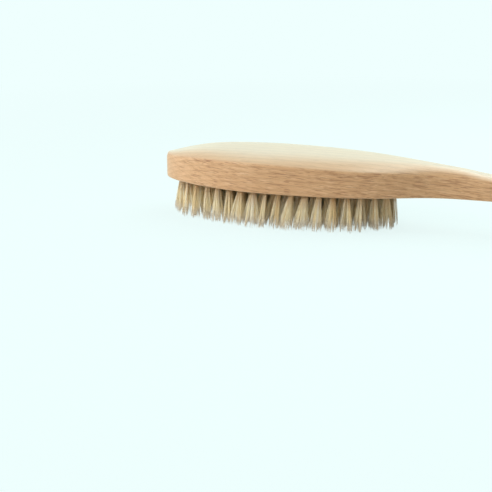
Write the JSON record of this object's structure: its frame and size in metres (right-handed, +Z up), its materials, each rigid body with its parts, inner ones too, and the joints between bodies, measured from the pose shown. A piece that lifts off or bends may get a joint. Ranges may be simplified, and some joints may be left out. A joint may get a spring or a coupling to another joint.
{
  "type": "body brush",
  "caption": "Long-handled body brush: one-piece beech stock with an oval domed head and slim handle with a hanging hole, and rings of natural bristle tufts on the flat underside.",
  "frame": {"origin": "on the plane of the bristle tips, under the middle of the brush's length and width", "axes": "+X along the brush from the toe of the head towards the end of the handle, +Z up from the bristle tips to the domed back"},
  "size_m": [0.4, 0.066, 0.046],
  "materials": {
    "beech": "fine-sanded steamed beech, satin",
    "bristle": "natural blond bristle"
  },
  "bodies": {
    "root": {"beech_stock": "beech", "bristle_ring_outer": "bristle", "bristle_ring_second": "bristle", "bristle_ring_third": "bristle", "bristle_row_centre": "bristle"}
  },
  "joints": []
}
